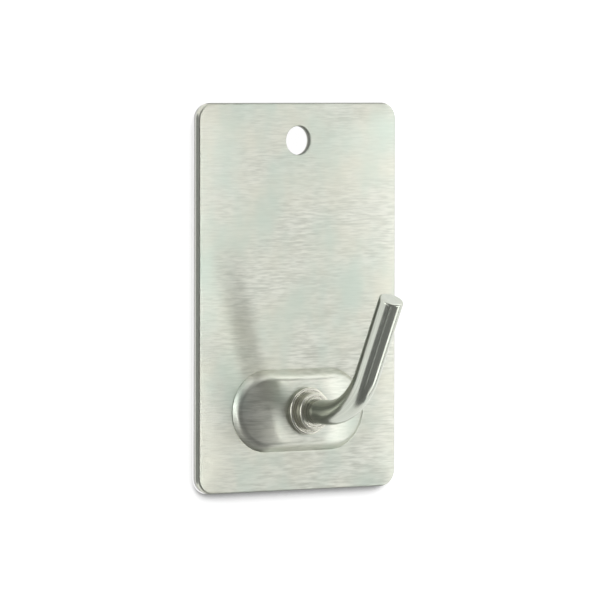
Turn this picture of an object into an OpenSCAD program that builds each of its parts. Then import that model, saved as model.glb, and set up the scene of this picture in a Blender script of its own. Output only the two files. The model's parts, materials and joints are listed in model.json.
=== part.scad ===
// Adhesive wall hook: a pressed sheet-metal plate on a foam tape pad, with a bent rod riveted
// through a raised boss. Millimetres. The wall is the plane y = 0, the front faces -Y and +Z is up.
// The origin is the middle of the tape's wall side.

/* [Plate] */
// Width of the plate
plate_w = 44; // [36:0.5:60]
// Height of the plate
plate_h = 70; // [60:0.5:100]
// Thickness of the sheet
sheet_t = 1; // [0.8:0.05:1.4]
// Radius of the plate's corners
corner_r = 3; // [1:0.25:5]
// Radius rolled on the front edge of the plate
edge_r = 0.4; // [0.1:0.05:0.6]

/* [Screw hole] */
// Diameter of the spare screw hole
hole_d = 5.2; // [3.5:0.1:7]
// From the top edge of the plate down to the middle of the hole
hole_drop = 6.8; // [5.5:0.1:14]
// Width of the bevel round the front of the hole
hole_bevel = 0.2; // [0.1:0.05:0.4]

/* [Boss] */
// Length of the boss across the plate, at its root
boss_w = 29; // [24:0.5:33]
// Height of the boss, at its root
boss_h = 14.8; // [14:0.2:19]
// How far the boss stands out of the plate
boss_rise = 2.7; // [2.4:0.1:3]
// Radius of the curve that falls from the front of the boss to its root
boss_crown_r = 4.5; // [3.6:0.1:5.5]
// Radius to which the front of the boss is bowed along its length
boss_bow_r = 60; // [45:1:90]
// Radius to which the front of the boss is bowed across its height
boss_camber_r = 15; // [13:0.5:20]
// How far the bowed front is pressed in to make the flat seat of the collar
boss_seat_in = 0.4; // [0.3:0.05:0.6]
// From the bottom edge of the plate up to the middle of the boss
boss_lift = 14.5; // [12:0.5:26]

/* [Tape] */
// Thickness of the foam in the tape
foam_t = 0.6; // [0.4:0.1:2]
// Thickness of each adhesive film on the foam
film_t = 0.1; // [0.05:0.05:0.3]
// How far the tape stays inside the plate's outline
tape_inset = 0.2; // [0:0.1:0.8]
// Room round the screw hole in the tape
tape_hole_gap = 0.9; // [0.5:0.1:2]

/* [Rod] */
// Diameter of the rod
rod_d = 4.5; // [3.8:0.1:5.2]
// From the front of the plate to the start of the bend
rod_run = 9; // [7.5:0.5:16]
// Bend radius at the middle of the rod
bend_r = 13.4; // [8:0.2:18]
// How far the rod turns upwards
bend_angle = 62.5; // [45:0.5:88]
// Length of the straight upstand above the bend
upstand_l = 15.5; // [8:0.5:30]
// Radius on the rim of the rod's cut end
tip_r = 0.4; // [0.1:0.1:1]

/* [Collar] */
// Diameter of the collar's flange
flange_d = 8.6; // [7.6:0.1:9.2]
// Thickness of the flange
flange_t = 1.1; // [0.8:0.1:2]
// Diameter of the collar's hub
hub_d = 6.9; // [6.2:0.1:7.4]
// Length of the hub in front of the flange
hub_l = 1.8; // [1:0.1:3]
// Radius on the front edges of flange and hub
collar_edge_r = 0.35; // [0.1:0.05:0.5]

/* [Rivet] */
// Diameter of the rod's tail
tail_d = 3.2; // [2.4:0.1:3.4]
// Diameter of the head peened on the tail
head_d = 5; // [4.2:0.1:5.6]
// Height of the peened head
head_h = 0.8; // [0.5:0.1:1]
// Thickness of the washer
washer_t = 0.7; // [0.4:0.1:1]

/* [Fits] */
// Radial gap between the rod and the collar's bore
collar_fit = 0.03; // [0.01:0.01:0.1]
// Radial gap between the tail and the holes it passes through
tail_fit = 0.05; // [0.02:0.01:0.15]
// Gap between the washer's rim and the curve inside the boss
washer_fit = 0.05; // [0.02:0.01:0.2]

/* [Hidden] */
$fn = 96;

// Depths are counted from the wall towards the front.
foam_back = film_t;
front_film_back = foam_back + foam_t;
sheet_back = front_film_back + film_t;
sheet_front = sheet_back + sheet_t;
boss_front = sheet_front + boss_rise;
boss_inside = boss_front - sheet_t;
washer_back = boss_inside - washer_t;
head_back = washer_back - head_h;
bend_start = sheet_front + rod_run;

// Heights are counted from the middle of the plate.
hole_z = plate_h / 2 - hole_drop;
boss_z = -plate_h / 2 + boss_lift;

// From where the boss's front curves down out to its root
boss_slope = sqrt(boss_crown_r * boss_crown_r - pow(boss_crown_r - boss_rise, 2));
boss_flat = boss_h / 2 - boss_slope;
boss_straight = boss_w - boss_h;
// Half the height of the flat behind the collar's seat
boss_camber_inside_r = boss_camber_r - sheet_t;
boss_seat_inside = sqrt(pow(boss_camber_inside_r, 2) - pow(boss_camber_inside_r - boss_seat_in, 2));
// A strip of the plate this wide is drawn with the boss.
boss_land = 0.5;

rod_r = rod_d / 2;
tail_r = tail_d / 2;
// The washer fills the flat inside the boss.
washer_d = 2 * (min(boss_flat, boss_seat_inside) - washer_fit);
// The peened head is a slice of a ball of this radius.
head_ball_r = (head_h * head_h + head_d * head_d / 4) / (2 * head_h);
tape_w = plate_w - 2 * tape_inset;
tape_h = plate_h - 2 * tape_inset;
tape_corner_r = corner_r - tape_inset;
tape_hole_d = hole_d + 2 * tape_hole_gap;

// Cutters run past the faces that they cut by this much.
past = 1;

// Stands a shape drawn flat, front up, against the wall with its front towards -Y.
module on_wall() {
    rotate([90, 0, 0]) children();
}

// A quarter of a disc, its straight sides along +X and +Y.
module quarter_disc(r) {
    intersection() {
        circle(r);
        square(r);
    }
}

// Half-section of a slab's border: r wide, t thick, with the outer front edge rolled over.
module border_section(r, t, edge) {
    square([r - edge, t]);
    if (edge > 0) {
        translate([r - edge, 0]) square([edge, t - edge]);
        translate([r - edge, t - edge]) quarter_disc(edge);
    }
}

// One side of a slab's border, running along +Y for a length.
module border_side(length, r, t, edge) {
    rotate([90, 0, 0]) linear_extrude(length, center = true) border_section(r, t, edge);
}

// A slab with round corners, whose front edge may be rolled over.
module round_slab(w, h, r, t, edge = 0) {
    inner_w = w - 2 * r;
    inner_h = h - 2 * r;
    translate([-inner_w / 2, -inner_h / 2, 0]) cube([inner_w, inner_h, t]);
    for (turn = [0, 180]) {
        rotate([0, 0, turn]) {
            translate([inner_w / 2, 0, 0]) border_side(inner_h, r, t, edge);
            translate([0, inner_h / 2, 0]) rotate([0, 0, 90]) border_side(inner_w, r, t, edge);
            translate([inner_w / 2, inner_h / 2, 0])
                rotate_extrude(angle = 90) border_section(r, t, edge);
            translate([-inner_w / 2, inner_h / 2, 0]) rotate([0, 0, 90])
                rotate_extrude(angle = 90) border_section(r, t, edge);
        }
    }
}

// A layer of the tape, with its clearance hole for the screw.
module tape_layer(back, t) {
    on_wall() translate([0, 0, back]) difference() {
        round_slab(tape_w, tape_h, tape_corner_r, t);
        translate([0, hole_z, -past]) cylinder(d = tape_hole_d, h = t + 2 * past);
    }
}

// Half-section of the solid under a raised boss: a flat front, and a curve from there to the root.
module boss_section(curve_r) {
    square([boss_flat, boss_rise]);
    translate([boss_flat, 0]) intersection() {
        square([curve_r, boss_rise + past]);
        translate([0, boss_rise - curve_r]) circle(curve_r);
    }
}

// The bowed front that limits the boss, moved in by a thickness.
module boss_bow(inside) {
    translate([0, 0, sheet_t + boss_rise + boss_seat_in - boss_bow_r]) rotate([90, 0, 0])
        rotate_extrude() translate([boss_bow_r - boss_camber_r, 0]) circle(boss_camber_r - inside);
}

// Sweeps a half-section round a slot-shaped path, whose middle line is straight for a length.
module sweep_slot(straight) {
    for (turn = [0, 180]) {
        rotate([0, 0, turn]) {
            translate([straight / 2, 0, 0]) rotate([0, 0, -90]) rotate_extrude(angle = 180) children();
            rotate([0, 0, 90]) rotate([90, 0, 0]) linear_extrude(straight, center = true) children();
        }
    }
}

// The boss as pressed sheet, one thickness from face to face, and the strip of the plate round it.
module boss() {
    difference() {
        intersection() {
            sweep_slot(boss_straight) {
                translate([0, sheet_t]) boss_section(boss_crown_r);
                square([boss_h / 2 + boss_land, sheet_t]);
            }
            boss_bow(0);
        }
        intersection() {
            sweep_slot(boss_straight) boss_section(boss_crown_r - sheet_t);
            boss_bow(sheet_t);
        }
    }
}

module face_plate() {
    color("gainsboro") on_wall() difference() {
        translate([0, 0, sheet_back]) union() {
            difference() {
                round_slab(plate_w, plate_h, corner_r, sheet_t, edge_r);
                translate([0, boss_z, -past]) sweep_slot(boss_straight)
                    square([boss_h / 2 + boss_land, sheet_t + 2 * past]);
            }
            translate([0, boss_z, 0]) boss();
        }
        translate([0, hole_z, sheet_back - past]) cylinder(d = hole_d, h = sheet_t + 2 * past);
        // The bevel's cone runs on past the front face at the same slope.
        translate([0, hole_z, sheet_front - hole_bevel])
            cylinder(r1 = hole_d / 2, r2 = hole_d / 2 + hole_bevel + past, h = hole_bevel + past);
        translate([0, boss_z, boss_inside - past])
            cylinder(r = tail_r + tail_fit, h = sheet_t + 2 * past);
    }
}

// Tail, shoulder and straight run of the rod. Its turning starts on the bend's outer side.
module rod_root() {
    rotate([0, 0, -90]) rotate_extrude() {
        translate([0, washer_back]) square([tail_r, boss_front - washer_back]);
        translate([0, head_back]) intersection() {
            square([head_d, head_h]);
            translate([0, head_ball_r]) circle(head_ball_r);
        }
        translate([0, boss_front]) square([rod_r, bend_start - boss_front]);
    }
}

// Straight end of the rod, with the rim of its cut face rounded. It starts on the bend's outer side.
module rod_upstand() {
    rotate([0, 0, -90]) rotate_extrude() {
        square([rod_r, upstand_l - tip_r]);
        translate([0, upstand_l - tip_r]) square([rod_r - tip_r, tip_r]);
        translate([rod_r - tip_r, upstand_l - tip_r]) quarter_disc(tip_r);
    }
}

module hook_rod() {
    color("silver") on_wall() translate([0, boss_z, 0]) {
        rod_root();
        translate([0, bend_r, bend_start]) rotate([90, 0, -90])
            rotate_extrude(angle = bend_angle) translate([bend_r, 0]) circle(rod_r);
        translate([0, bend_r, bend_start]) rotate([-bend_angle, 0, 0])
            translate([0, -bend_r, 0]) rod_upstand();
    }
}

// One step of the collar in half-section, with its outer front edge rounded.
module collar_step(r, t) {
    bore_r = rod_r + collar_fit;
    translate([bore_r, 0]) border_section(r - bore_r, t, collar_edge_r);
}

module collar() {
    color("silver") on_wall() translate([0, boss_z, boss_front]) rotate_extrude() {
        collar_step(flange_d / 2, flange_t);
        translate([0, flange_t]) collar_step(hub_d / 2, hub_l);
    }
}

module backing_washer() {
    color("darkgray") on_wall() translate([0, boss_z, washer_back]) difference() {
        cylinder(d = washer_d, h = washer_t);
        translate([0, 0, -past]) cylinder(r = tail_r + tail_fit, h = washer_t + 2 * past);
    }
}

module front_adhesive() {
    color("whitesmoke") tape_layer(front_film_back, film_t);
}

module foam_pad() {
    color("white") tape_layer(foam_back, foam_t);
}

module rear_adhesive() {
    color("lightgray") tape_layer(0, film_t);
}

face_plate();
hook_rod();
collar();
backing_washer();
front_adhesive();
foam_pad();
rear_adhesive();
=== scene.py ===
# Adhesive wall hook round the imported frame: finishes, pressed plate, foam, studio and camera.
# Metres throughout. The frame has the wall at y = 0, the front towards -Y and +Z up.
import json
import math

import bmesh
import bpy
from mathutils import Matrix, Vector, noise


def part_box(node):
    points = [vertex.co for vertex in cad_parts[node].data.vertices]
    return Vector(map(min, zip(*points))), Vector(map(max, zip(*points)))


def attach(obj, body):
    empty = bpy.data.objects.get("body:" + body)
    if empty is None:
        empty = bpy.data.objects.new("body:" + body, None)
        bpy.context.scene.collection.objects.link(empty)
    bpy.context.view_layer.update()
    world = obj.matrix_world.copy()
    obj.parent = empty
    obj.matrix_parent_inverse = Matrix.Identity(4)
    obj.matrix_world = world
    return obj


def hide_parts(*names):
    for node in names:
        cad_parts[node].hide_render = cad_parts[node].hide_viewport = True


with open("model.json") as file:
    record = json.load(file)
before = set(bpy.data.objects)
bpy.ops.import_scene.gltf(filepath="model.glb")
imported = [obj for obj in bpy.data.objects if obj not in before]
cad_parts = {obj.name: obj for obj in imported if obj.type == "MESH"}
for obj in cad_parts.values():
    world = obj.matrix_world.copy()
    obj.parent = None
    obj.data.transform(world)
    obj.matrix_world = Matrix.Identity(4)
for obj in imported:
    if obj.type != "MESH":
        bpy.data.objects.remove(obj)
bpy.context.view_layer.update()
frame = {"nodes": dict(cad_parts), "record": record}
MM = 0.001

# Camera, as fitted to the photograph: angles in degrees, focal length and target in pixels
IMAGE_SIDE = 600
SENSOR_WIDTH = 36.0
FOCAL_PIXELS = 5841.0
CAMERA_AZIMUTH = -36.12
CAMERA_ELEVATION = 2.22
CAMERA_ROLL = 0.10
CAMERA_DISTANCE = 1054.6 * MM
TARGET_PIXEL = (298.16, 296.73)

# Places on the part that the finishes, the plate and the foam follow
plate_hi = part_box("face_plate")[1]
foam_lo, foam_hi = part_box("foam_pad")
collar_lo, collar_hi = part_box("collar")
mounts = {mount["name"]: mount for mount in frame["record"]["mounts"]}
hole_mount = mounts["screw_hole"]
HOLE_Z = hole_mount["pos_m"][2]
HOLE_R = hole_mount["dims"]["r_mm"] * MM
BOSS_Z = (collar_lo.z + collar_hi.z) / 2
SHEET_T = 1.0 * MM
SHEET_BACK = plate_hi.y
SHEET_FRONT = SHEET_BACK - SHEET_T
PLATE_CORNER_R = 3.0 * MM
EDGE_R = 0.4 * MM
HOLE_BEVEL = 0.2 * MM
TAPE_CORNER_R = 2.8 * MM
TAPE_HOLE_R = 3.5 * MM

# The pressed boss: outline, wall, bowed front, collar seat, and the dip where the sheet was drawn in
BOSS_R = 7.4 * MM
BOSS_STRAIGHT = 7.1 * MM
BOSS_RISE = SHEET_FRONT - collar_hi.y
BOSS_WALL_SLOPE = 2.1
BOSS_EDGE_BLEND = 1.5 * MM
BOSS_BOW_R = 46 * MM
BOSS_CAMBER_R = 48 * MM
SEAT_IN = 0.4 * MM
SEAT_BLEND = 0.3 * MM
DIP_W = 0.5 * MM
DIP_DEPTH = 0.04 * MM
BORE_R = 1.65 * MM


def add_node(tree, kind, inputs=None, **settings):
    """Adds a node, sets its properties, and fills its inputs with values or links."""
    made = tree.nodes.new(kind)
    for name, value in settings.items():
        setattr(made, name, value)
    for name, value in (inputs or {}).items():
        if isinstance(value, bpy.types.NodeSocket):
            tree.links.new(value, made.inputs[name])
        else:
            made.inputs[name].default_value = value
    return made


def math_node(tree, operation, first, second=0.0):
    """The result of one sum on two values or sockets."""
    return add_node(tree, "ShaderNodeMath", {0: first, 1: second}, operation=operation).outputs[0]


def ramp(tree, value, low, high, to_low=0.0, to_high=1.0):
    """A smooth step from to_low to to_high as value goes from low to high."""
    inputs = {"Value": value, "From Min": low, "From Max": high, "To Min": to_low, "To Max": to_high}
    made = add_node(tree, "ShaderNodeMapRange", inputs, interpolation_type="SMOOTHSTEP")
    return made.outputs["Result"]


def mix_colour(tree, factor, first, second):
    """A colour between first and second."""
    inputs = {0: factor, 6: first, 7: second}
    return add_node(tree, "ShaderNodeMix", inputs, data_type="RGBA").outputs[2]


def grain(tree, cell, detail):
    """Noise with cells of the given size along each axis, about 0.5 on average."""
    where = add_node(tree, "ShaderNodeTexCoord").outputs["Object"]
    scale = tuple(1.0 / size for size in cell)
    stretched = add_node(tree, "ShaderNodeMapping", {"Vector": where, "Scale": scale})
    inputs = {"Vector": stretched.outputs[0], "Scale": 1.0, "Detail": detail}
    return add_node(tree, "ShaderNodeTexNoise", inputs).outputs["Fac"]


def place(tree):
    """The three coordinates of the shaded point."""
    where = add_node(tree, "ShaderNodeTexCoord").outputs["Object"]
    return add_node(tree, "ShaderNodeSeparateXYZ", {0: where}).outputs


def bump(tree, height, distance, strength):
    """A normal roughened by a height of the given distance."""
    inputs = {"Height": height, "Distance": distance, "Strength": strength}
    return add_node(tree, "ShaderNodeBump", inputs).outputs[0]


def length(tree, first, second):
    """The length of the slant across two sides at right angles."""
    squares = [math_node(tree, "MULTIPLY", side, side) for side in (first, second)]
    return math_node(tree, "SQRT", math_node(tree, "ADD", *squares))


def new_material(name):
    """An empty node material, with its tree and its principled shader."""
    material = bpy.data.materials.new(name)
    material.use_nodes = True
    tree = material.node_tree
    shader = tree.nodes["Principled BSDF"]
    return material, tree, shader


def connect(tree, shader, **sockets):
    """Links sockets to the shader's inputs, named with underscores for spaces."""
    for name, socket in sockets.items():
        tree.links.new(socket, shader.inputs[name.replace("_", " ").title()])


def plate_steel():
    """Sheet brushed across its width, cloudy, with sheared edges that are darker towards the front:
    painted shade on the rolled front edge, and a painted highlight over the burnished back.
    """
    material, tree, shader = new_material("plate_steel")
    shader.inputs["Metallic"].default_value = 1.0
    shader.inputs["Anisotropic"].default_value = 0.71
    dark_line = (0.48, 0.495, 0.432, 1)
    bright_line = (0.72, 0.73, 0.66, 1)
    streak = (0.66, 0.68, 0.61, 1)
    warm_cloud = (0.64, 0.64, 0.545, 1)
    green_tint = (0.52, 0.605, 0.535, 1)
    # Edge colours are painted light: a near-black shade for the front of each cut edge, a pale highlight
    # for its burnished back
    painted_edge_shade = (0.2, 0.21, 0.185, 1)
    burnish_and_painted_highlight = (0.74, 0.74, 0.68, 1)
    edge_start = 0.3 * MM
    edge_full = 0.05 * MM
    bore_start = 0.1 * MM
    bore_full = 0.02 * MM
    burnish_and_highlight_full = 0.12 * MM
    edge_roughness = 0.1
    lines = grain(tree, (2.6 * MM, 2.6 * MM, 0.32 * MM), detail=2.0)
    long_lines = grain(tree, (12 * MM, 12 * MM, 0.3 * MM), detail=2.0)
    clouds = grain(tree, (13 * MM, 13 * MM, 9 * MM), detail=3.0)
    tints = grain(tree, (8 * MM, 8 * MM, 11 * MM), detail=2.0)
    brushed = mix_colour(tree, ramp(tree, lines, 0.25, 0.75), dark_line, bright_line)
    streaked = mix_colour(tree, ramp(tree, long_lines, 0.3, 0.75, to_high=0.35), brushed, streak)
    clouded = mix_colour(tree, ramp(tree, clouds, 0.35, 0.75, to_high=0.7), streaked, warm_cloud)
    tinted = mix_colour(tree, ramp(tree, tints, 0.4, 0.75, to_high=0.7), clouded, green_tint)
    x, y, z = place(tree)
    side = ramp(tree, math_node(tree, "ABSOLUTE", x), plate_hi.x - edge_start, plate_hi.x - edge_full)
    end = ramp(tree, math_node(tree, "ABSOLUTE", z), plate_hi.z - edge_start, plate_hi.z - edge_full)
    reach = length(tree, x, math_node(tree, "SUBTRACT", z, HOLE_Z))
    bore = ramp(tree, reach, HOLE_R + bore_start, HOLE_R + bore_full)
    sheared = math_node(tree, "MAXIMUM", math_node(tree, "MAXIMUM", side, end), bore)
    # Painted light on the cut edges and the bore: shade painted on the front, a highlight painted
    # towards the back
    burnish_and_highlight_share = ramp(tree, y, SHEET_BACK - edge_start, SHEET_BACK - burnish_and_highlight_full)
    edge = mix_colour(tree, burnish_and_highlight_share, painted_edge_shade, burnish_and_painted_highlight)
    colour = mix_colour(tree, sheared, tinted, edge)
    brushed_roughness = ramp(tree, lines, 0.3, 0.7, to_low=0.34, to_high=0.44)
    sheared_roughness = math_node(tree, "MULTIPLY", sheared, edge_roughness)
    roughness = math_node(tree, "ADD", brushed_roughness, sheared_roughness)
    upright = add_node(tree, "ShaderNodeCombineXYZ", {"Z": 1.0}).outputs[0]
    normal = bump(tree, lines, distance=0.012 * MM, strength=0.35)
    connect(tree, shader, base_color=colour, roughness=roughness, normal=normal, tangent=upright)
    return material


def rod_steel():
    """Drawn rod with fine lines along it and a plain cut end."""
    material, tree, shader = new_material("rod_steel")
    shader.inputs["Metallic"].default_value = 1.0
    dark_line = (0.50, 0.53, 0.465, 1)
    bright_line = (0.60, 0.63, 0.56, 1)
    warm_cloud = (0.60, 0.585, 0.50, 1)
    lines = grain(tree, (0.09 * MM, 14 * MM, 14 * MM), detail=2.0)
    clouds = grain(tree, (3 * MM, 3 * MM, 3 * MM), detail=2.0)
    drawn = mix_colour(tree, ramp(tree, lines, 0.3, 0.7), dark_line, bright_line)
    colour = mix_colour(tree, ramp(tree, clouds, 0.4, 0.8, to_high=0.4), drawn, warm_cloud)
    roughness = ramp(tree, clouds, 0.3, 0.7, to_low=0.16, to_high=0.24)
    normal = bump(tree, lines, distance=0.006 * MM, strength=0.2)
    connect(tree, shader, base_color=colour, roughness=roughness, normal=normal)
    return material


def collar_steel():
    """Turned ring with fine tool marks round its axis."""
    material, tree, shader = new_material("collar_steel")
    shader.inputs["Metallic"].default_value = 1.0
    dark_ring = (0.60, 0.60, 0.52, 1)
    bright_ring = (0.71, 0.70, 0.615, 1)
    ring_width = 0.12 * MM
    x, y, z = place(tree)
    reach = length(tree, x, math_node(tree, "SUBTRACT", z, BOSS_Z))
    profile = add_node(tree, "ShaderNodeCombineXYZ", {"X": reach, "Y": y}).outputs[0]
    inputs = {"Vector": profile, "Scale": 1 / ring_width, "Detail": 2.0}
    rings = add_node(tree, "ShaderNodeTexNoise", inputs).outputs["Fac"]
    colour = mix_colour(tree, ramp(tree, rings, 0.3, 0.7), dark_ring, bright_ring)
    roughness = ramp(tree, rings, 0.3, 0.7, to_low=0.22, to_high=0.32)
    normal = bump(tree, rings, distance=0.008 * MM, strength=0.3)
    connect(tree, shader, base_color=colour, roughness=roughness, normal=normal)
    return material


def washer_steel():
    """Plain stamped washer, tumbled dull."""
    material, tree, shader = new_material("washer_steel")
    shader.inputs["Metallic"].default_value = 1.0
    dark_pit = (0.36, 0.37, 0.36, 1)
    bright_face = (0.46, 0.47, 0.46, 1)
    pits = grain(tree, (0.25 * MM, 0.25 * MM, 0.25 * MM), detail=4.0)
    colour = mix_colour(tree, ramp(tree, pits, 0.3, 0.7), dark_pit, bright_face)
    roughness = ramp(tree, pits, 0.3, 0.7, to_low=0.32, to_high=0.46)
    normal = bump(tree, pits, distance=0.01 * MM, strength=0.4)
    connect(tree, shader, base_color=colour, roughness=roughness, normal=normal)
    return material


def adhesive():
    """Tacky film with a faint pebble and mottling."""
    material, tree, shader = new_material("adhesive")
    shader.inputs["IOR"].default_value = 1.47
    dark_film = (0.60, 0.60, 0.57, 1)
    pale_film = (0.70, 0.695, 0.66, 1)
    pebble = grain(tree, (0.35 * MM, 0.35 * MM, 0.35 * MM), detail=3.0)
    mottle = grain(tree, (9 * MM, 9 * MM, 6 * MM), detail=3.0)
    colour = mix_colour(tree, ramp(tree, mottle, 0.3, 0.7), dark_film, pale_film)
    roughness = ramp(tree, pebble, 0.3, 0.7, to_low=0.28, to_high=0.42)
    normal = bump(tree, pebble, distance=0.02 * MM, strength=0.4)
    connect(tree, shader, base_color=colour, roughness=roughness, normal=normal)
    return material


def foam():
    """White closed-cell foam: tiny round cells, matte."""
    material, tree, shader = new_material("foam")
    shader.inputs["Specular IOR Level"].default_value = 0.25
    cell_middle = (0.74, 0.74, 0.71, 1)
    cell_wall = (0.86, 0.86, 0.83, 1)
    cell_width = 0.12 * MM
    where = add_node(tree, "ShaderNodeTexCoord").outputs["Object"]
    cells = add_node(tree, "ShaderNodeTexVoronoi", {"Vector": where, "Scale": 1 / cell_width})
    pits = cells.outputs["Distance"]
    colour = mix_colour(tree, ramp(tree, pits, 0.2, 0.8), cell_middle, cell_wall)
    roughness = ramp(tree, pits, 0.2, 0.8, to_low=0.75, to_high=0.9)
    normal = bump(tree, pits, distance=0.03 * MM, strength=0.6)
    connect(tree, shader, base_color=colour, roughness=roughness, normal=normal)
    return material


def paint(obj, material):
    """Gives an object one material."""
    obj.data.materials.clear()
    obj.data.materials.append(material)


def add_object(name, data):
    """An object in the scene that holds the data."""
    made = bpy.data.objects.new(name, data)
    bpy.context.scene.collection.objects.link(made)
    return made


def mesh_object(mesh, name):
    """An object in the scene made of a mesh, which is used up."""
    data = bpy.data.meshes.new(name)
    mesh.to_mesh(data)
    mesh.free()
    return add_object(name, data)


def round_rectangle(half_w, half_h, radius, steps, side_steps):
    """Points (x, z) round a rectangle with round corners, anticlockwise, each straight side divided."""
    corners = [(1, 1, 0), (-1, 1, 90), (-1, -1, 180), (1, -1, 270)]
    arcs = []
    for sign_x, sign_z, start in corners:
        centre = Vector((sign_x * (half_w - radius), sign_z * (half_h - radius)))
        for step in range(steps + 1):
            angle = math.radians(start + 90 * step / steps)
            arcs.append(centre + radius * Vector((math.cos(angle), math.sin(angle))))
    points = []
    for index, point in enumerate(arcs):
        points.append(point)
        after = arcs[(index + 1) % len(arcs)]
        if index % (steps + 1) == steps:
            points += [point.lerp(after, part / side_steps) for part in range(1, side_steps)]
    return points


def circle_points(centre_z, radius, steps):
    """Points (x, z) round a circle on the part's middle line."""
    angles = [math.tau * step / steps for step in range(steps)]
    return [Vector((radius * math.cos(a), centre_z + radius * math.sin(a))) for a in angles]


def join_rings(mesh, rings):
    """Smooth faces between each closed ring of points and the next."""
    for lower, upper in zip(rings, rings[1:]):
        for index in range(len(lower)):
            corners = (lower[index - 1], lower[index], upper[index], upper[index - 1])
            mesh.faces.new(corners).smooth = True


def fill_between(mesh, rings):
    """Flat faces inside the first ring and outside the others."""
    edges = []
    for ring in rings:
        edges += [mesh.edges.get((ring[index - 1], ring[index])) for index in range(len(ring))]
    bmesh.ops.triangle_fill(mesh, use_beauty=True, edges=edges)


def finish_mesh(mesh, name):
    """An object in the scene made of a mesh whose faces all look outwards."""
    bmesh.ops.recalc_face_normals(mesh, faces=mesh.faces[:])
    return mesh_object(mesh, name)


def level_ring(mesh, outline, depth):
    """A ring of points round an outline (x, z), all at one depth."""
    return [mesh.verts.new((point.x, depth, point.y)) for point in outline]


def slot_outline(reach):
    """Points (x, z) at a reach from the boss's middle line, anticlockwise from its lower right."""
    steps = 40
    points = []
    for side, start in ((1, -90), (-1, 90)):
        centre = Vector((side * BOSS_STRAIGHT, BOSS_Z))
        for step in range(steps + 1):
            angle = math.radians(start + 180 * step / steps)
            points.append(centre + reach * Vector((math.cos(angle), math.sin(angle))))
        corner = points[-1]
        pace = Vector((-side * 2 * BOSS_STRAIGHT / steps, 0))
        points += [corner + pace * step for step in range(1, steps)]
    return points


def smooth_least(first, second, blend):
    """The lesser of two heights, rounded where they come within a blend of each other."""
    near = max(0, 1 - abs(first - second) / blend)
    return min(first, second) - blend * near * near / 4


def pressed_rise(spot, drawn_in):
    """How far a face of the boss, its outline drawn in, stands out of the sheet at a spot (x, z)."""
    above = spot.y - BOSS_Z
    beyond = max(abs(spot.x) - BOSS_STRAIGHT, 0)
    inset = BOSS_R - drawn_in - math.hypot(beyond, above)
    if inset < 0:
        return -DIP_DEPTH * max(0, 1 + inset / DIP_W) ** 3
    bowed = BOSS_RISE + SEAT_IN - spot.x ** 2 / (2 * BOSS_BOW_R) - above ** 2 / (2 * BOSS_CAMBER_R)
    seated = smooth_least(bowed, BOSS_RISE, SEAT_BLEND)
    return smooth_least(BOSS_WALL_SLOPE * inset - DIP_DEPTH, seated, BOSS_EDGE_BLEND)


def boss_face(mesh, level, drawn_in):
    """Rings of one face of the boss, from the flat sheet round it in to the rod's bore."""
    dip_rings = 6
    edge_rings = 26
    top_rings = 14
    edge_width = 2.8 * MM
    outlines = [slot_outline(BOSS_R + DIP_W * (1 - step / dip_rings)) for step in range(dip_rings)]
    outlines += [slot_outline(BOSS_R - edge_width * step / edge_rings) for step in range(edge_rings + 1)]
    rim = outlines[-1]
    middle = Vector((0, BOSS_Z))
    bore = [middle + BORE_R * (point - middle).normalized() for point in rim]
    for step in range(1, top_rings + 1):
        outlines.append([point.lerp(inner, step / top_rings) for point, inner in zip(rim, bore)])
    rings = []
    for outline in outlines:
        rings.append([mesh.verts.new((p.x, level - pressed_rise(p, drawn_in), p.y)) for p in outline])
    join_rings(mesh, rings)
    return rings[0], rings[-1]


def plate_piece():
    """The pressed sheet: rolled front edge, bevelled screw hole, and the boss, hollow behind."""
    roll_steps = 8
    corner_steps = 16
    hole_steps = 96
    crease_angle = math.radians(35)
    inner_inset = 0.5 * MM
    mesh = bmesh.new()
    border = []
    for step in range(roll_steps + 1):
        angle = math.radians(90 * step / roll_steps)
        inset = EDGE_R * (1 - math.sin(angle))
        half_w = plate_hi.x - inset
        half_h = plate_hi.z - inset
        outline = round_rectangle(half_w, half_h, PLATE_CORNER_R - inset, corner_steps, 1)
        border.append(level_ring(mesh, outline, SHEET_FRONT + EDGE_R * (1 - math.cos(angle))))
    border.append(level_ring(mesh, outline, SHEET_BACK))
    join_rings(mesh, border)
    bevel = circle_points(HOLE_Z, HOLE_R + HOLE_BEVEL, hole_steps)
    bore = circle_points(HOLE_Z, HOLE_R, hole_steps)
    hole = [level_ring(mesh, bevel, SHEET_FRONT),
            level_ring(mesh, bore, SHEET_FRONT + HOLE_BEVEL),
            level_ring(mesh, bore, SHEET_BACK)]
    join_rings(mesh, hole)
    front_root, front_bore = boss_face(mesh, SHEET_FRONT, 0)
    back_root, back_bore = boss_face(mesh, SHEET_BACK, inner_inset)
    join_rings(mesh, [front_bore, back_bore])
    fill_between(mesh, [border[0], hole[0], front_root])
    fill_between(mesh, [border[-1], hole[-1], back_root])
    made = finish_mesh(mesh, "pressed_plate")
    made.data.set_sharp_from_angle(angle=crease_angle)
    return made


def foam_wall(mesh, outline, outward, levels):
    """A cut foam edge, bulging between the films and wavering. Returns its back and front rings."""
    bulge = 0.06 * MM
    waver = 0.02 * MM
    waver_cell = 1.2 * MM
    rings = []
    for level in range(levels + 1):
        share = level / levels
        depth = foam_hi.y + (foam_lo.y - foam_hi.y) * share
        ring = []
        for index, point in enumerate(outline):
            before = outline[index - 1]
            after = outline[(index + 1) % len(outline)]
            along = (after - before).normalized()
            across = Vector((along.y, -along.x)) * outward
            swell = bulge * math.sin(math.pi * share)
            cell_spot = Vector((point.x, depth, point.y)) / waver_cell
            swell += waver * noise.noise(cell_spot) * math.sin(math.pi * share)
            spot = point + across * swell
            ring.append(mesh.verts.new((spot.x, depth, spot.y)))
        rings.append(ring)
    join_rings(mesh, rings)
    return rings[0], rings[-1]


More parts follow.
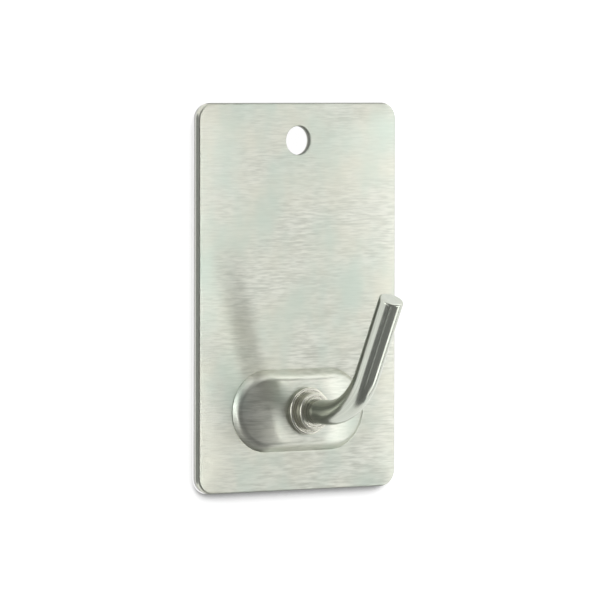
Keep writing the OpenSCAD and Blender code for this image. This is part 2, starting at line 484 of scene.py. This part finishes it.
def foam_piece():
    """The tape's foam as cut: bulging edges, open round the screw hole."""
    corner_steps = 12
    side_steps = 24
    hole_steps = 64
    levels = 6
    outline = round_rectangle(foam_hi.x, foam_hi.z, TAPE_CORNER_R, corner_steps, side_steps)
    hole = circle_points(HOLE_Z, TAPE_HOLE_R, hole_steps)
    mesh = bmesh.new()
    outer_back, outer_front = foam_wall(mesh, outline, 1, levels)
    inner_back, inner_front = foam_wall(mesh, hole, -1, levels)
    fill_between(mesh, [outer_back, inner_back])
    fill_between(mesh, [outer_front, inner_front])
    return finish_mesh(mesh, "tape_foam")


def floor_material():
    """White floor that keeps its shadows, and is clear from behind to show the part's back; its glow
    carries a painted shadow where the part is near.
    """
    material, tree, shader = new_material("floor_white")
    glow = 0.8
    shaded = 0.3
    unshaded = 0.75
    shade_reach = 12 * MM
    shader.inputs["Base Color"].default_value = (0.5, 0.5, 0.5, 1)
    shader.inputs["Roughness"].default_value = 0.9
    shader.inputs["Specular IOR Level"].default_value = 0.0
    ray = add_node(tree, "ShaderNodeLightPath").outputs
    seen = math_node(tree, "MAXIMUM", ray["Is Camera Ray"], ray["Is Glossy Ray"])
    seen = math_node(tree, "MAXIMUM", seen, ray["Is Transmission Ray"])
    shader.inputs["Emission Color"].default_value = (1, 1, 1, 1)
    # Painted shadow: the glow fades where ambient occlusion, leaned up and forward, meets the part
    shadow_lean = add_node(tree, "ShaderNodeCombineXYZ", {"Y": -0.7, "Z": 0.7}).outputs[0]
    inputs = {"Distance": shade_reach, "Normal": shadow_lean}
    painted_shadow_ao = add_node(tree, "ShaderNodeAmbientOcclusion", inputs, samples=16).outputs["AO"]
    pale = ramp(tree, painted_shadow_ao, shaded, unshaded, to_high=glow)
    tree.links.new(math_node(tree, "MULTIPLY", seen, pale), shader.inputs["Emission Strength"])
    behind = add_node(tree, "ShaderNodeNewGeometry").outputs["Backfacing"]
    clear = add_node(tree, "ShaderNodeBsdfTransparent").outputs[0]
    mixed = add_node(tree, "ShaderNodeMixShader", {0: behind, 1: shader.outputs[0], 2: clear})
    tree.links.new(mixed.outputs[0], tree.nodes["Material Output"].inputs["Surface"])
    return material


def make_floor():
    """The pale plane that the tape rests on, open behind the part."""
    half_side = 1.5
    behind_tape = 0.05 * MM
    steps = 12
    rim = round_rectangle(plate_hi.x, plate_hi.z, PLATE_CORNER_R, steps, 1)
    far = [Vector((x * half_side, z * half_side)) for x, z in ((1, 1), (-1, 1), (-1, -1), (1, -1))]
    mesh = bmesh.new()
    near_points = level_ring(mesh, rim, behind_tape)
    far_points = level_ring(mesh, far, behind_tape)
    arc = steps + 1
    for index, corner in enumerate(far_points):
        start = index * arc
        for step in range(start, start + steps):
            mesh.faces.new((corner, near_points[step + 1], near_points[step]))
        after = (index + 1) % len(far_points)
        last = near_points[start + steps]
        first = near_points[after * arc]
        mesh.faces.new((corner, far_points[after], first, last))
    for face in mesh.faces:
        face.normal_update()
        if face.normal.y > 0:
            face.normal_flip()
    made = mesh_object(mesh, "floor")
    paint(made, floor_material())


def towards(azimuth, elevation):
    """Direction from the part, in degrees right of straight ahead and degrees up."""
    aside = math.radians(azimuth)
    above = math.radians(elevation)
    level = math.cos(above)
    return Vector((math.sin(aside) * level, -math.cos(aside) * level, math.sin(above)))


def softbox(name, azimuth, elevation, wide, tall, radiance, lean=0):
    """A soft lamp seen from the part in a direction, with its width, height and lean in degrees."""
    distance = 0.7
    lamp = bpy.data.lights.new(name, "AREA")
    lamp.shape = "RECTANGLE"
    lamp.size = 2 * distance * math.tan(math.radians(wide / 2))
    lamp.size_y = 2 * distance * math.tan(math.radians(tall / 2))
    lamp.energy = radiance * math.pi * lamp.size * lamp.size_y
    made = add_object(name, lamp)
    facing = towards(azimuth, elevation)
    made.location = facing * distance
    upright = (-facing).to_track_quat("-Z", "Y").to_matrix()
    made.rotation_euler = (upright @ Matrix.Rotation(math.radians(lean), 3, "Z")).to_euler()
    made.visible_camera = False


def make_lights():
    """Two bright strips and a softbox right of the camera, and pale walls on all sides."""
    softbox("key_strip", 23, 7, wide=5, tall=13, radiance=7.8, lean=8)
    softbox("low_key_strip", 27, -11, wide=5, tall=20, radiance=5.2, lean=12)
    softbox("high_softbox", 39, 11, wide=12, tall=10, radiance=2.8)
    softbox("right_wall", 52, -5, wide=18, tall=44, radiance=1.95)
    softbox("far_right_wall", 75, 30, wide=22, tall=60, radiance=1.4)
    softbox("left_wall", -78, 10, wide=20, tall=40, radiance=2.8)
    softbox("low_left_wall", -64, -14, wide=8, tall=30, radiance=3.2)
    softbox("high_left_wall", -70, 66, wide=40, tall=20, radiance=2.0)
    softbox("high_right_wall", 45, 62, wide=60, tall=30, radiance=1.1)
    softbox("low_right_wall", 66, -45, wide=18, tall=30, radiance=1.8)
    softbox("far_low_wall", 75, -15, wide=24, tall=28, radiance=0.7)
    softbox("low_strip", -34, -48, wide=3, tall=14, radiance=0.75)
    softbox("low_fill", 5, -42, wide=70, tall=22, radiance=0.06)


def make_world():
    """White to the camera and behind the part; to the part a dim room in front."""
    room = 0.2
    room_edge = 0.02
    world = bpy.data.worlds.new("studio")
    bpy.context.scene.world = world
    world.use_nodes = True
    tree = world.node_tree
    background = tree.nodes["Background"]
    ray = add_node(tree, "ShaderNodeLightPath").outputs
    facing = add_node(tree, "ShaderNodeTexCoord").outputs["Generated"]
    deep = add_node(tree, "ShaderNodeSeparateXYZ", {0: facing}).outputs["Y"]
    around = ramp(tree, deep, -room_edge, room_edge, to_low=room)
    seen = math_node(tree, "MAXIMUM", around, ray["Is Camera Ray"])
    tree.links.new(seen, background.inputs["Strength"])
    background.inputs["Color"].default_value = (1, 1, 1, 1)


def make_camera():
    """The photograph's camera: the plate's middle lands on its pixel."""
    back = towards(CAMERA_AZIMUTH, CAMERA_ELEVATION)
    level = Vector((0, 0, 1)).cross(back).normalized()
    roll = Matrix.Rotation(math.radians(CAMERA_ROLL), 3, back)
    right = roll @ level
    up = back.cross(right)
    size_of_pixel = CAMERA_DISTANCE / FOCAL_PIXELS
    centre = IMAGE_SIDE / 2
    aside = right * (TARGET_PIXEL[0] - centre) * size_of_pixel
    above = up * (centre - TARGET_PIXEL[1]) * size_of_pixel
    target = Vector((0, SHEET_FRONT, 0))
    data = bpy.data.cameras.new("camera")
    data.sensor_width = SENSOR_WIDTH
    data.lens = FOCAL_PIXELS / IMAGE_SIDE * SENSOR_WIDTH
    data.clip_start = 0.01
    data.clip_end = 20.0
    made = add_object("camera", data)
    turn = Matrix((right, up, back)).transposed().to_4x4()
    made.matrix_world = Matrix.Translation(target + back * CAMERA_DISTANCE - aside - above) @ turn
    bpy.context.scene.camera = made


def dress_part():
    """Finishes on the frame's own solids, and the modelled plate and foam in place of theirs."""
    film = adhesive()
    finishes = {
        "hook_rod": rod_steel(),
        "collar": collar_steel(),
        "backing_washer": washer_steel(),
        "front_adhesive": film,
        "rear_adhesive": film,
    }
    for node, material in finishes.items():
        paint(frame["nodes"][node], material)
    pressed_plate = plate_piece()
    paint(pressed_plate, plate_steel())
    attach(pressed_plate, "root")
    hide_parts("face_plate")
    tape_foam = foam_piece()
    paint(tape_foam, foam())
    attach(tape_foam, "root")
    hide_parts("foam_pad")


bpy.context.scene.view_settings.view_transform = "Standard"
make_camera()
dress_part()
make_floor()
make_lights()
make_world()
